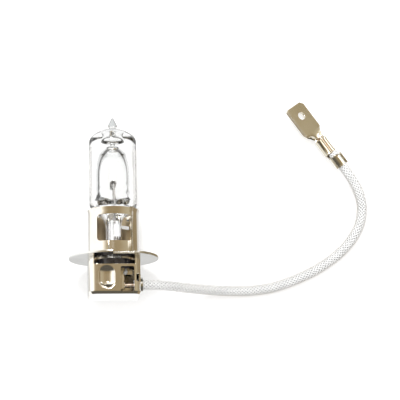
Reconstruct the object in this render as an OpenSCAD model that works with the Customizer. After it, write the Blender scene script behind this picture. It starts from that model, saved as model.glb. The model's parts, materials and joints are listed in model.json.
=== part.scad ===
// Halogen headlight bulb with a 22 mm flange and a flying lead.
// The bulb is drawn on its own axis first: +Z runs from the flange's seating face to the tip of
// the glass, -Y is the front with the windows, and +X is the side where the lead comes out.
// lay() then lies it down on the flange rim and the glass shoulder. The surface is z = 0.

/* [Glass] */
// Outer diameter of the quartz tube
glass_d = 11.7; // [11.4:0.1:11.8]
// Wall of the quartz tube
glass_wall = 2.4; // [2:0.1:2.5]
// Height of the dome's crown above the seating face
glass_top = 32.4; // [31.4:0.1:33.5]
// Radius of the dome's crown
crown_r = 8; // [7.4:0.1:8.8]
// Radius of the shoulder between tube and dome
shoulder_r = 2.2; // [1.8:0.1:2.6]
// Diameter of the sealed exhaust pip
pip_d = 2.3; // [1.8:0.1:3]
// Height of the pip above the dome
pip_h = 3.2; // [2.6:0.1:3.6]
// Thickness of the pinch
pinch_t = 3.5; // [3.2:0.1:3.8]
// Width of the pinch
pinch_w = 10.2; // [9.6:0.1:10.4]

/* [Filament] */
// Height of the filament above the seating face
light_centre = 18; // [17.5:0.1:18.5]
// Length of the filament's coil
coil_l = 5; // [4.4:0.1:5.4]
// Diameter of the filament's coil, to the middle of its wire
coil_d = 1.3; // [1.1:0.1:1.5]
// Diameter of the filament's wire
coil_wire = 0.22; // [0.18:0.02:0.26]
// Turns of the filament's coil
coil_turns = 9; // [7:1:11]

/* [Sleeve] */
// Outer diameter of the sleeve
sleeve_d = 12.4; // [12.3:0.1:12.8]
// Height of the sleeve above the seating face
sleeve_h = 11.6; // [11.2:0.1:11.8]
// Thickness of the sleeve's metal
sleeve_t = 0.4; // [0.3:0.05:0.4]
// Width of each window
window_w = 8.4; // [7.6:0.1:8.8]
// Height of each window
window_h = 6.6; // [6:0.1:7]
// Height of the windows' lower edge
window_z = 3.2; // [2.8:0.1:3.4]

/* [Flange] */
// Diameter of the flange
flange_d = 22; // [21.5:0.1:22.5]
// Thickness of the flange
flange_t = 0.6; // [0.5:0.05:0.8]
// Distance of the notch's floor from the axis
notch_r = 8.4; // [8:0.1:9.5]
// Width of the notch
notch_w = 5; // [4:0.1:6]

/* [Base housing] */
// Width of the housing
base_w = 12.7; // [12.4:0.1:13]
// Depth of the housing, front to back
base_d = 12; // [11.6:0.1:12.4]
// Distance of the housing's lower end below the seating face
base_h = 9.9; // [9.7:0.1:10.4]
// Thickness of the housing's metal
base_t = 0.4; // [0.3:0.05:0.5]
// Radius of the housing's upright edges at the back
base_r = 1.2; // [0.7:0.1:1.6]
// Radius of the housing's upright edges at the front
base_front_r = 2.2; // [1.6:0.1:2.3]

/* [Lead] */
// Diameter of the braided lead
lead_d = 2.5; // [2.2:0.1:2.5]
// Diameter of the bare conductor
strand_d = 1.3; // [1:0.1:1.4]

/* [Blade terminal] */
// Width of the blade
blade_w = 6.3; // [6.2:0.1:6.4]
// Thickness of the blade
blade_t = 0.8; // [0.7:0.1:0.8]
// Length of the blade
blade_l = 7.8; // [7.4:0.1:8.4]
// Diameter of the hole in the blade
blade_hole_d = 2; // [1.6:0.1:2.2]
// Turn of the terminal about its own length, as it lies
terminal_roll = 38; // [36:1:38]

/* [Hidden] */
$fn = 64;
EPS = 0.01;

// Glass
glass_r = glass_d / 2;
bore_r = glass_r - glass_wall;
crown_z = glass_top - crown_r;
shoulder_x = glass_r - shoulder_r;
shoulder_z = crown_z + sqrt(pow(crown_r - shoulder_r, 2) - pow(shoulder_x, 2));
neck_top = 13.5;       // where the round tube begins
neck_low = 7.5;        // where the pinch has its full thinness
pinch_z = -0.5;        // lower end of the pinch
heel_r = 1.6;          // rounding at the tube's lower end
bore_low = 13.1;       // floor of the cavity
bore_floor_r = 1.6;    // rounding at the cavity's floor
ogive_low = 20;        // where the cavity begins to close
ogive_top = 27.7;      // closed top of the cavity
pip_neck_d = 1.6;
pip_neck_h = 0.7;
pip_tip_d = 0.4;

// Wires and foils in the pinch. Each wire lies against the face of its foil.
lead_y = 2.9;          // distance of the foils and wires from the axis
foil_w = 2;
foil_t = 0.1;
foil_low = 3;
foil_high = 10;
post_d = 0.5;
post_low = 8.5;
post_x = foil_t / 2 + post_d / 2;
post_high = light_centre - coil_d / 2 + 0.5;
pin_d = 0.8;
pin_x = foil_t / 2 + pin_d / 2;
pin_low = -4.8;
pin_high = 4.5;
seal_gap = 0.02;

// Sleeve and flange
sleeve_r = sleeve_d / 2;
sleeve_bore = sleeve_r - sleeve_t;
flare_h = 0.6;
flare_out = 0.2;
window_r = 0.7;
seam_x = -1.4;
seam_w = 0.15;
clip_t = 0.3;
clip_spine_x = 4;      // the right clip's spine lies outside this
flange_r = flange_d / 2;
flange_bore_r = 5.3;
notch_x = -0.5;        // left edge of the notch
notch_slant = 1.4;     // how far the notch's right edge slants outwards
weld_d = 0.9;
weld_h = 0.1;
seat_r = 7.6;          // inside this radius the flange is coined down for the sleeve's foot
seat_depth = 0.15;

// Base
cover_t = 0.4;
oval_x = -1.95;
oval_z = -5.8;
oval_w = 4.1;
oval_h = 5.8;
oval_depth = 0.9;
port_x = 3.05;
port_z = -6.3;
port_w = 3.3;
port_h = 6.2;
slot_left = -5;        // the long slot under the flange, across the front
slot_right = 4.9;
slot_low = -2.6;
side_port_x = 5.2;     // the small opening round the right front edge
side_port_y = -3.6;
side_port_low = -6.8;
side_port_high = -5;
disc_z = -3.4;
disc_t = 2.4;
exit_y = -0.9;         // the lead leaves just in front of the middle
exit_z = -7.1;
ferrule_d = 3.8;
ferrule_proud = 0.6;
exit_x = base_w / 2 + ferrule_proud;
tail_in = 4.8;         // where the insulation ends inside the housing
barrel_wall = 0.4;
barrel_x = -0.6;
barrel_l = 3.2;
strip_t = 0.4;
strip_y = -lead_y + pin_d / 2;

// Rest: the bulb lies on its flange rim and its glass shoulder, and its tip leans a little to the left.
lay_yaw = 1.2;
reach = sqrt(pow(flange_r - shoulder_x, 2) + pow(shoulder_z, 2));
lay_tilt = acos(shoulder_r / reach) - atan2(shoulder_z, flange_r - shoulder_x);
lay_roll = 5.5;
rest_z = flange_r * cos(lay_tilt);
// The length's direction in the bulb's own frame tells which points reach farthest each way.
level = [sin(lay_yaw), -cos(lay_yaw) * sin(lay_tilt)];
along_x = level[0] * cos(lay_roll) + level[1] * sin(lay_roll);
along_y = level[1] * cos(lay_roll) - level[0] * sin(lay_roll);
along_z = cos(lay_yaw) * cos(lay_tilt);
sideways = norm(level);
back_reach = (base_w / 2 - base_r) * abs(along_x) + (base_d / 2 - base_r) * abs(along_y)
    + base_r * sideways + base_h * along_z;
tip_reach = (glass_top + pip_h) * along_z + pip_tip_d / 2 * sideways;
rest_y = (back_reach - tip_reach) / 2;
rest_x = -flange_t / 2 * sin(lay_yaw) * cos(lay_tilt);

// Route of the lead, from the ferrule to its end behind the insulation crimp
ROUTE = [
    [7.1, -18.9, 12.3], [9.6, -18.9, 12], [12.1, -19, 11.3], [15, -19.3, 9.9], [18, -19.7, 7.9],
    [21, -20, 5.7], [24, -20.3, 3.8], [27, -20.5, 2.4], [30, -20.6, 1.6], [33, -20.6, 1.3],
    [36, -20.3, 1.3], [39.5, -19.7, 1.3], [43, -18.6, 1.3], [46.5, -17.2, 1.3], [50, -15.5, 1.3],
    [53, -13.6, 1.3], [55.8, -11.5, 1.3], [58.2, -9.1, 1.3], [60, -6.6, 1.3], [61.3, -3.9, 1.3],
    [61.9, -1, 1.3], [61.8, 1.7, 1.5], [61.1, 4.3, 1.9], [59.9, 6.7, 2.5], [58.4, 8.9, 3.1],
    [56.9, 10.9, 3.3], [54.5, 14.1, 3.3],
];
RING_STEPS = 2;        // rings between two points of the route
SIDES = 8;

// Terminal: its barrels lie along +X, with the seam up, and x = 0 is the lead's end of it
terminal_at = [56.9, 10.9, 3.3];
terminal_turn = 127;
sheet_t = 0.4;
insul_l = 2.9;
crimp_gap = 1.3;
cond_l = 4.3;
taper_l = 3;
bore_gap = 0.05;
insul_bore_r = lead_d / 2 + bore_gap;
axis_h = sheet_t + insul_bore_r;
cond_bore_r = strand_d / 2 + bore_gap;
lobe_r = 0.85;         // outer radius of each lobe of the conductor crimp
lobe_y = 0.7;          // distance of the lobes from the middle
cond_x = insul_l + crimp_gap;
blade_x = cond_x + cond_l + taper_l;
terminal_l = blade_x + blade_l;
blade_chamfer = 0.9;   // on the corner away from the raised edge
blade_nick = 0.5;      // on the corner at the raised edge
blade_hole_in = 3.2;   // distance of the hole from the blade's end

function smooth_neck(z) =
    pinch_t / 2 + (glass_r - pinch_t / 2) * pow((z - neck_low) / (neck_top - neck_low), 1.8);

function ogive_r(t) = bore_r * pow(1 - pow(t, 2.3), 0.5);

// A point between route points i and i + 1, on a smooth curve through all of them
function route_point(i, t) =
    let (
        a = ROUTE[max(i - 1, 0)], b = ROUTE[i],
        c = ROUTE[i + 1], d = ROUTE[min(i + 2, len(ROUTE) - 1)]
    )
    0.5 * ((2 * b) + (c - a) * t + (2 * a - 5 * b + 4 * c - d) * t * t
        + (3 * b - a - 3 * c + d) * t * t * t);

function unit(v) = v / norm(v);

// Points of a ring of n sides round each point of a path
function ring(p, along, r, n) =
    let (side = unit(cross([0, 0, 1], along)), up = cross(along, side))
    [for (k = [0 : n - 1]) p + r * (cos(k * 360 / n) * side + sin(k * 360 / n) * up)];

function heading(path, i) = unit(path[min(i + 1, len(path) - 1)] - path[max(i - 1, 0)]);

module sweep(path, r, n) {
    last = len(path) - 1;
    points = [for (i = [0 : last]) each ring(path[i], heading(path, i), r, n)];
    walls = [for (i = [0 : last - 1]) for (k = [0 : n - 1])
        [i * n + k, i * n + (k + 1) % n, (i + 1) * n + (k + 1) % n, (i + 1) * n + k]];
    ends = [[for (k = [n - 1 : -1 : 0]) k], [for (k = [0 : n - 1]) last * n + k]];
    polyhedron(points, concat(walls, ends), convexity = 8);
}

// Lies the upright bulb down on the surface
module lay() {
    translate([rest_x, rest_y, rest_z]) rotate([0, 0, lay_yaw]) rotate([-(90 + lay_tilt), 0, 0])
        rotate([0, 0, lay_roll]) children();
}

// Puts the terminal where the lead ends, rolled as it lies
module place_terminal() {
    translate(terminal_at) rotate([0, 0, terminal_turn]) rotate([terminal_roll, 0, 0])
        translate([0, 0, -axis_h]) children();
}

// Puts a shape drawn along +Z so that it runs along +X at the height of the lead's exit
module along_exit(x) {
    translate([x, exit_y, exit_z]) rotate([0, 90, 0]) children();
}

module rounded_rect(w, h, r) {
    for (x = [-1, 1]) for (y = [-1, 1]) translate([x * (w / 2 - r), y * (h / 2 - r)]) circle(r);
    square([w - 2 * r, h], center = true);
    square([w, h - 2 * r], center = true);
}

// A block that cuts front to back, drawn as a shape in X and Z
module cut_y(y0, y1) {
    translate([0, y1, 0]) rotate([90, 0, 0]) linear_extrude(y1 - y0) children();
}

module glass_outline() {
    square([glass_r, shoulder_z]);
    translate([shoulder_x, shoulder_z]) circle(shoulder_r);
    intersection() {
        translate([0, crown_z]) circle(crown_r, $fn = 128);
        polygon([[0, crown_z], [2 * shoulder_x, 2 * shoulder_z - crown_z], [0, 2 * shoulder_z]]);
    }
}

module glass_solid() {
    intersection() {
        union() {
            rotate_extrude() difference() {
                glass_outline();
                square([2 * glass_r, neck_top]);
            }
            rotate_extrude() {
                translate([0, pinch_z]) square([pinch_w / 2, neck_top - pinch_z + 1]);
                intersection() {
                    translate([glass_r - heel_r, neck_top]) circle(heel_r);
                    square([glass_r, neck_top + EPS]);
                }
            }
        }
        cut_y(-glass_r - 1, glass_r + 1) polygon(concat(
            [[-pinch_t / 2, pinch_z - 1], [pinch_t / 2, pinch_z - 1]],
            [for (z = [neck_low : 0.5 : neck_top]) [smooth_neck(z), z]],
            [[glass_r + 1, neck_top], [glass_r + 1, glass_top + 1]],
            [[-glass_r - 1, glass_top + 1], [-glass_r - 1, neck_top]],
            [for (z = [neck_top : -0.5 : neck_low]) [-smooth_neck(z), z]]
        ));
    }
    translate([0, 0, glass_top - 0.3]) cylinder(d = pip_neck_d, h = pip_neck_h + 0.3);
    translate([0, 0, glass_top + pip_neck_h])
        cylinder(d1 = pip_d, d2 = pip_tip_d, h = pip_h - pip_neck_h);
}

module glass_cavity() {
    rotate_extrude() {
        translate([0, bore_low + bore_floor_r]) square([bore_r, ogive_low - bore_low - bore_floor_r]);
        translate([0, bore_low]) square([bore_r - bore_floor_r, bore_floor_r]);
        intersection() {
            translate([bore_r - bore_floor_r, bore_low + bore_floor_r]) circle(bore_floor_r);
            translate([0, bore_low]) square([bore_r, bore_floor_r]);
        }
        polygon(concat([[0, ogive_low]],
            [for (t = [0 : 0.1 : 1]) [ogive_r(t), ogive_low + t * (ogive_top - ogive_low)]]));
    }
}

module foil_blank(side) {
    translate([-foil_t / 2, side * lead_y - foil_w / 2, foil_low])
        cube([foil_t, foil_w, foil_high - foil_low]);
}

// The pockets in the glass are wider than the wires by twice gap
module post_blank(side, gap = 0) {
    translate([post_x, side * lead_y, post_low - gap])
        cylinder(d = post_d + 2 * gap, h = post_high - post_low + gap, $fn = 24);
}

module pin_blank(side, gap = 0) {
    translate([pin_x, side * lead_y, pin_low])
        cylinder(d = pin_d + 2 * gap, h = pin_high - pin_low + gap, $fn = 32);
}

module quartz_envelope() {
    color("aliceblue", 0.35) lay() difference() {
        glass_solid();
        glass_cavity();
        for (side = [-1, 1]) {
            foil_blank(side);
            post_blank(side, seal_gap);
            pin_blank(side, seal_gap);
        }
    }
}

module filament() {
    steps = coil_turns * 14;
    tail_z = -coil_d / 2;
    helix = [for (i = [0 : steps])
        let (turn = i * 360 * coil_turns / steps)
        [coil_d / 2 * sin(turn), (i / steps - 0.5) * coil_l, tail_z * cos(turn)]];
    path = concat([[0, -lead_y, tail_z]], helix, [[0, lead_y, tail_z]]);
    color("dimgray") lay() translate([foil_t / 2 - coil_wire / 2, 0, light_centre])
        sweep(path, coil_wire / 2, 6);
}

module filament_post_live() { color("gray") lay() post_blank(-1); }

module filament_post_ground() { color("gray") lay() post_blank(1); }

module foil_live() { color("lightgray") lay() foil_blank(-1); }

module foil_ground() { color("lightgray") lay() foil_blank(1); }

module outer_lead_live() { color("gray") lay() pin_blank(-1); }

module outer_lead_ground() { color("gray") lay() pin_blank(1); }

module holder_sleeve() {
    color("tan") lay() difference() {
        union() {
            translate([0, 0, -seat_depth]) cylinder(r = sleeve_r, h = sleeve_h + seat_depth);
            translate([0, 0, sleeve_h - flare_h])
                cylinder(r1 = sleeve_r, r2 = sleeve_r + flare_out, h = flare_h);
        }
        translate([0, 0, -1]) cylinder(r = sleeve_bore, h = sleeve_h + 2);
        cut_y(-sleeve_r - 1, sleeve_r + 1) translate([0, window_z + window_h / 2])
            rounded_rect(window_w, window_h, window_r);
        translate([seam_x, -sleeve_r - 1, -1]) cube([seam_w, sleeve_r, window_z + 2]);
    }
}

// A spring tongue from the sleeve's wall to a face of the pinch; side is -1 on the left
module tongue(side, z0, z1) {
    wall = sleeve_bore * cos(40);
    wall_y = sleeve_bore * sin(40);
    face = pinch_t / 2;
    translate([0, 0, z0]) linear_extrude(z1 - z0) polygon([
        [side * (wall - clip_t), wall_y - clip_t], [side * (face + 0.05), 1.6], [side * (face + 0.05), 0.6],
        [side * (face + clip_t), 0.4], [side * (face + clip_t), 1.4], [side * (wall - 0.05), wall_y - 2 * clip_t]
    ]);
}

// The room that the widening neck of the glass needs, with a little air
module neck_room() {
    air = 0.1;
    cut_y(-sleeve_r, sleeve_r) polygon(concat(
        [for (z = [neck_low : 0.5 : 11]) [smooth_neck(z) + air, z]], [[smooth_neck(11) + air, 14]],
        [[-smooth_neck(11) - air, 14]], [for (z = [11 : -0.5 : neck_low]) [-smooth_neck(z) - air, z]]
    ));
}

module clip_left() {
    color("darkkhaki") lay() difference() {
        intersection() {
            tongue(-1, 1.5, 10.4);
            cylinder(r = sleeve_bore, h = sleeve_h);
        }
        neck_room();
    }
}

module clip_right() {
    color("darkkhaki") lay() difference() {
        intersection() {
            tongue(1, 1.5, 10.4);
            cylinder(r = sleeve_bore, h = sleeve_h);
        }
        neck_room();
        // Two openings leave a pad low down and a small tongue near the top
        translate([0, -1, 7.4]) cube([clip_spine_x, 6, 0.9]);
        translate([0, -1, 0]) cube([clip_spine_x, 6, 4.4]);
        translate([clip_spine_x - 0.6, -1, 9.5]) cube([0.6, 6, 2]);
    }
}

module flange() {
    color("silver") lay() difference() {
        translate([0, 0, -flange_t]) cylinder(r = flange_r, h = flange_t, $fn = 128);
        translate([0, 0, -flange_t - 1]) cylinder(r = flange_bore_r, h = flange_t + 2);
        translate([0, 0, -seat_depth]) cylinder(r = seat_r, h = 1);
        translate([0, 0, -flange_t - 1]) linear_extrude(flange_t + 2) polygon([
            [notch_x, -notch_r], [notch_x, -flange_r - 1],
            [notch_x + notch_w + notch_slant, -flange_r - 1], [notch_x + notch_w, -notch_r]
        ]);
    }
}

module flange_welds() {
    color("gray") lay() for (turn = [60, 120, 240, 300]) rotate([0, 0, turn - 90])
        translate([0, sleeve_r + weld_d / 2 + 0.1, -seat_depth])
            cylinder(d = weld_d, h = weld_h, $fn = 24);
}

// The housing's plan, with wider bends at the front; inset moves the outline inwards
module housing_outline(inset) {
    x = base_w / 2 - inset;
    y = base_d / 2 - inset;
    front = base_front_r - inset;
    back = base_r - inset;
    for (side = [-1, 1]) {
        translate([side * (x - front), front - y]) circle(front);
        translate([side * (x - back), y - back]) circle(back);
    }
    polygon([
        [front - x, -y], [x - front, -y], [x, front - y], [x, y - back],
        [x - back, y], [back - x, y], [-x, y - back], [-x, front - y]
    ]);
}

module housing_box(inset, z0, z1) {
    translate([0, 0, z0]) linear_extrude(z1 - z0) housing_outline(inset);
}

module oval(w, h) {
    translate([0, (h - w) / 2]) circle(d = w);
    translate([0, (w - h) / 2]) circle(d = w);
    square([w, h - w], center = true);
}

module base_housing() {
    front = -base_d / 2;
    color("silver") lay() difference() {
        union() {
            difference() {
                housing_box(0, -base_h, -flange_t);
                housing_box(base_t, -base_h - 1, -flange_t + 1);
            }
            cut_y(front + base_t / 2, front + oval_depth + base_t)
                translate([oval_x, oval_z]) oval(oval_w + 2 * base_t, oval_h + 2 * base_t);
        }
        cut_y(front - 1, front + oval_depth) translate([oval_x, oval_z]) oval(oval_w, oval_h);
        cut_y(front - 1, front + base_t + 1) translate([port_x, port_z])
            rounded_rect(port_w, port_h, 0.3);
        translate([slot_left, front - 1, slot_low])
            cube([slot_right - slot_left, base_t + 1.5, -slot_low]);
        translate([side_port_x, front - 1, side_port_low])
            cube([base_w, side_port_y - front + 1, side_port_high - side_port_low]);
        along_exit(base_w / 2 - 2) cylinder(d = ferrule_d - 0.8, h = 4);
    }
}

module base_cover() {
    color("silver") lay() housing_box(base_t, -base_h, -base_h + cover_t);
}

module insulator_disc() {
    color("darkslategray") lay() difference() {
        translate([0, 0, disc_z]) cylinder(r = flange_bore_r - 0.3, h = disc_t);
        for (side = [-1, 1]) pin_blank(side);
    }
}

module live_contact() {
    color("burlywood") lay() {
        translate([-1.2, strip_y, -4.7]) cube([5.6, strip_t, 1.2]);
        translate([1.4, strip_y, exit_z - 1.1]) cube([1, strip_t, -4.7 - exit_z + 1.1 + EPS]);
        difference() {
            along_exit(barrel_x) cylinder(r = strand_d / 2 + barrel_wall, h = barrel_l, $fn = 32);
            along_exit(barrel_x - 1) cylinder(r = strand_d / 2, h = barrel_l + 2, $fn = 32);
        }
        translate([1.4, strip_y, exit_z - strip_t / 2])
            cube([1, -strip_y + exit_y - strand_d / 2 - barrel_wall / 2, strip_t]);
    }
}

module ground_strap() {
    strap_y = lead_y + pin_d / 2;
    back = base_d / 2 - base_t;
    color("burlywood") lay() {
        translate([-1, strap_y, -4.5]) cube([2.4, back - strap_y, strip_t]);
        translate([-1, back - strip_t, -7]) cube([2.4, strip_t, 2.5 + EPS]);
    }
}

module contact_welds() {
    color("lightgray") lay() {
        translate([2.9, strip_y, -4.1]) rotate([90, 0, 0]) cylinder(d1 = 1.4, d2 = 0.6, h = 0.3, $fn = 24);
        translate([pin_x, lead_y, pin_low]) rotate([180, 0, 0]) cylinder(d1 = pin_d, d2 = 0.4, h = 0.3, $fn = 24);
    }
}

module exit_ferrule() {
    wall_in = base_w / 2 - base_t;
    color("silver") lay() difference() {
        union() {
            along_exit(wall_in) cylinder(d = ferrule_d - 0.8, h = base_t + ferrule_proud, $fn = 48);
            along_exit(wall_in - 0.3) cylinder(d = ferrule_d, h = 0.3, $fn = 48);
            along_exit(base_w / 2) cylinder(d = ferrule_d, h = ferrule_proud, $fn = 48);
        }
        along_exit(wall_in - 1) cylinder(d = lead_d, h = 4, $fn = 48);
    }
}

module lead_tail() {
    color("white") lay() along_exit(tail_in) cylinder(d = lead_d, h = exit_x - tail_in - 0.1, $fn = 48);
}

module base_strands() {
    color("goldenrod") lay() along_exit(barrel_x) cylinder(d = strand_d, h = tail_in - barrel_x, $fn = 32);
}

module lead_cable() {
    path = concat(
        [for (i = [0 : len(ROUTE) - 2]) for (s = [0 : RING_STEPS - 1]) route_point(i, s / RING_STEPS)],
        [ROUTE[len(ROUTE) - 1]]
    );
    color("white") sweep(path, lead_d / 2, SIDES);
}

module terminal_strands() {
    color("goldenrod") place_terminal()
        translate([cond_x - 0.3, 0, sheet_t + cond_bore_r]) rotate([0, 90, 0])
            cylinder(d = strand_d, h = cond_l + 0.9, $fn = 32);
}

// A crimp barrel along +X with its seam up
module crimp(x, l, r, seam) {
    translate([x, 0, sheet_t + r]) rotate([0, 90, 0]) difference() {
        cylinder(r = r + sheet_t, h = l, $fn = 48);
        translate([0, 0, -1]) cylinder(r = r, h = l + 2, $fn = 48);
        translate([-r - sheet_t - 1, -seam / 2, -1]) cube([r + sheet_t + 1, seam, l + 2]);
    }
}

// The conductor crimp: two lobes side by side over a flat floor
module lobed_crimp(x, l) {
    lobe_z = sheet_t + cond_bore_r;
    translate([x, 0, 0]) rotate([90, 0, 90]) linear_extrude(l) difference() {
        union() {
            for (side = [-1, 1]) translate([side * lobe_y, lobe_z]) circle(lobe_r, $fn = 48);
            translate([-lobe_y - lobe_r, 0]) square([2 * (lobe_y + lobe_r), lobe_z]);
        }
        translate([0, lobe_z]) circle(cond_bore_r, $fn = 48);
    }
}

module blade_terminal() {
    neck_w = 2.4;
    color("tan") place_terminal() {
        crimp(0, insul_l, insul_bore_r, 0.6);
        lobed_crimp(cond_x, cond_l);
        translate([0, -0.8, 0]) cube([blade_x, 1.6, sheet_t]);
        linear_extrude(sheet_t) polygon([
            [cond_x + cond_l, -neck_w / 2], [blade_x, -blade_w / 2],
            [blade_x, blade_w / 2], [cond_x + cond_l, neck_w / 2]
        ]);
        difference() {
            linear_extrude(blade_t) polygon([
                [blade_x - 0.8, -blade_w / 2 + 0.8], [blade_x, -blade_w / 2],
                [terminal_l - blade_chamfer, -blade_w / 2], [terminal_l, -blade_w / 2 + blade_chamfer],
                [terminal_l, blade_w / 2 - blade_nick], [terminal_l - blade_nick, blade_w / 2],
                [blade_x, blade_w / 2], [blade_x - 0.8, blade_w / 2 - 0.8]
            ]);
            translate([terminal_l - blade_hole_in, 0, -1]) cylinder(d = blade_hole_d, h = 3);
        }
    }
}

quartz_envelope();
filament();
filament_post_live();
filament_post_ground();
foil_live();
foil_ground();
outer_lead_live();
outer_lead_ground();
holder_sleeve();
clip_left();
clip_right();
flange();
flange_welds();
base_housing();
base_cover();
insulator_disc();
live_contact();
ground_strap();
contact_welds();
exit_ferrule();
lead_tail();
base_strands();
lead_cable();
terminal_strands();
blade_terminal();
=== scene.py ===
import json
import math

import bmesh
import bpy
from mathutils import Matrix, Vector


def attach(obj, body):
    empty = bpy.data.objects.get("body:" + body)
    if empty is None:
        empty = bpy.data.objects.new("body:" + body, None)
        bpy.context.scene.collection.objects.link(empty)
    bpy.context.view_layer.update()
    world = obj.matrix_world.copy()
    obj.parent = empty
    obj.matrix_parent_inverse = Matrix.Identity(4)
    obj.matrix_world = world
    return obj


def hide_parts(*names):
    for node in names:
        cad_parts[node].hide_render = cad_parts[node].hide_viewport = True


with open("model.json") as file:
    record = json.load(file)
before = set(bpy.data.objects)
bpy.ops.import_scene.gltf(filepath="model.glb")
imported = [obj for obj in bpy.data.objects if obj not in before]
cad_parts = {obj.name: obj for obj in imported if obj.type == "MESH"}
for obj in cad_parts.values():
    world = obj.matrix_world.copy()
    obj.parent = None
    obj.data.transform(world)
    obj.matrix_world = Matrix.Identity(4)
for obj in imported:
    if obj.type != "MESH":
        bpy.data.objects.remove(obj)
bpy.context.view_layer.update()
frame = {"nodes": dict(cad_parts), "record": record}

# Pieces are modelled in millimetres on the bulb's own axis, or in the terminal's own frame, and then
# moved to the row frame in metres. On the bulb's axis +Z points to the tip of the glass, z = 0 is the
# flange's seating face, -Y is the front with the windows, and +X is the side of the lead.
MM = 0.001
MOUNTS = {m["name"]: m for m in frame["record"]["mounts"]}

# Bulb, as in the CAD model
GLASS_R = 5.85
BORE_R = 3.45
GLASS_TOP = 32.4
CROWN_R = 8.0
SHOULDER_R = 2.2
HEEL_LOW = 12.0        # the tube starts here, with a bend of HEEL_R over the pinch
HEEL_R = 1.2
PIP_R = 1.15
PINCH_T = 3.5
PINCH_W = 10.2
LIGHT_CENTRE = 18.0
LEAD_Y = 2.9
SLEEVE_R = 6.2
SLEEVE_H = 11.6
SHEET = 0.4
WINDOW_W = 8.4
WINDOW_H = 6.6
WINDOW_Z = 3.2
FLANGE_R = 11.0
FLANGE_T = 0.6
FLANGE_BORE_R = 5.3
SEAT_R = 7.6           # inside this radius the flange is coined down for the sleeve's foot
SEAT_DEPTH = 0.15
NOTCH_R = 8.4
NOTCH_LEFT = -0.5
NOTCH_RIGHT = 4.5
NOTCH_SLANT = 1.4
BASE_W = 12.7
BASE_D = 12.0
BASE_H = 9.9
BASE_R = 1.2
BASE_FRONT_R = 2.2
SEAT_OFFSET = 8.5      # the seating_face mount lies this far left of the axis
BULB_ROLL = math.radians(5.5)

# Lead
LEAD_D = 2.5
ROUTE = [
    (7.1, -18.9, 12.3), (9.6, -18.9, 12), (12.1, -19, 11.3), (15, -19.3, 9.9), (18, -19.7, 7.9),
    (21, -20, 5.7), (24, -20.3, 3.8), (27, -20.5, 2.4), (30, -20.6, 1.6), (33, -20.6, 1.3),
    (36, -20.3, 1.3), (39.5, -19.7, 1.3), (43, -18.6, 1.3), (46.5, -17.2, 1.3), (50, -15.5, 1.3),
    (53, -13.6, 1.3), (55.8, -11.5, 1.3), (58.2, -9.1, 1.3), (60, -6.6, 1.3), (61.3, -3.9, 1.3),
    (61.9, -1, 1.3), (61.8, 1.7, 1.5), (61.1, 4.3, 1.9), (59.9, 6.7, 2.5), (58.4, 8.9, 3.1),
    (56.9, 10.9, 3.3), (54.5, 14.1, 3.3),
]

CARRIERS = 8           # bundles of fibres that wind each way in the braid
BRAID_PITCH = 7.2

# Terminal
TAB_W = 6.3
TAB_T = 0.8
TAB_L = 7.8
INSUL_L = 2.9
CRIMP_GAP = 1.3
COND_L = 4.3
TAPER_L = 3.0
TERMINAL_L = INSUL_L + CRIMP_GAP + COND_L + TAPER_L + TAB_L
BLADE_HOLE_R = 1.0
BLADE_HOLE_IN = 3.2    # the hole's centre lies this far from the blade's tip

# Stage, in metres
FLOOR_SPAN = 0.15      # half the width over which the stage's tones change
PANEL_DEPTH = 0.06     # distance of the light panel below the floor


# ---- Places -------------------------------------------------------------------------------------

def axes_matrix(origin, x_axis, y_axis, z_axis):
    """Millimetres along three axes from an origin in metres, as metres in the row frame."""
    m = Matrix.Identity(4)
    for column, axis in enumerate((x_axis, y_axis, z_axis)):
        for row in range(3):
            m[row][column] = axis[row] * MM
    for row in range(3):
        m[row][3] = origin[row]
    return m


def bulb_matrix():
    tip = Vector(MOUNTS["seating_face"]["axis"]).normalized()
    level = tip.cross(Vector((0, 0, 1))).normalized()
    down = tip.cross(level)
    right = level * math.cos(BULB_ROLL) + down * math.sin(BULB_ROLL)
    back = tip.cross(right)
    origin = Vector(MOUNTS["seating_face"]["pos_m"]) + right * SEAT_OFFSET * MM
    return axes_matrix(origin, right, back, tip)


def terminal_matrix():
    along = Vector(MOUNTS["blade_tab"]["axis"]).normalized()
    up = Vector(MOUNTS["blade_hole"]["axis"]).normalized()
    tip = Vector(MOUNTS["blade_tab"]["pos_m"])
    origin = tip - along * TERMINAL_L * MM - up * TAB_T / 2 * MM
    return axes_matrix(origin, along, up.cross(along), up)


BULB = bulb_matrix()
TERMINAL = terminal_matrix()
WORLD_MM = Matrix.Scale(MM, 4)


# ---- Mesh helpers ---------------------------------------------------------------------------------

def mesh_object(name, verts, faces):
    mesh = bpy.data.meshes.new(name)
    mesh.from_pydata([tuple(v) for v in verts], [], faces)
    mesh.validate()
    obj = bpy.data.objects.new(name, mesh)
    bpy.context.scene.collection.objects.link(obj)
    return obj


def solid(name, verts, faces):
    """A mesh whose faces all look outwards."""
    obj = mesh_object(name, verts, faces)
    bm = bmesh.new()
    bm.from_mesh(obj.data)
    bmesh.ops.recalc_face_normals(bm, faces=bm.faces)
    bm.to_mesh(obj.data)
    bm.free()
    return obj


def apply_modifiers(obj):
    graph = bpy.context.evaluated_depsgraph_get()
    mesh = bpy.data.meshes.new_from_object(obj.evaluated_get(graph))
    obj.modifiers.clear()
    obj.data = mesh


def cut(obj, *cutters):
    for cutter in cutters:
        modifier = obj.modifiers.new("cut", "BOOLEAN")
        modifier.operation = "DIFFERENCE"
        modifier.solver = "EXACT"
        modifier.object = cutter
        apply_modifiers(obj)
        bpy.data.objects.remove(cutter)


def bevel(obj, width, segments=2, angle=35):
    modifier = obj.modifiers.new("bevel", "BEVEL")
    modifier.width = width
    modifier.segments = segments
    modifier.limit_method = "ANGLE"
    modifier.angle_limit = math.radians(angle)
    modifier.use_clamp_overlap = True
    apply_modifiers(obj)


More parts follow.
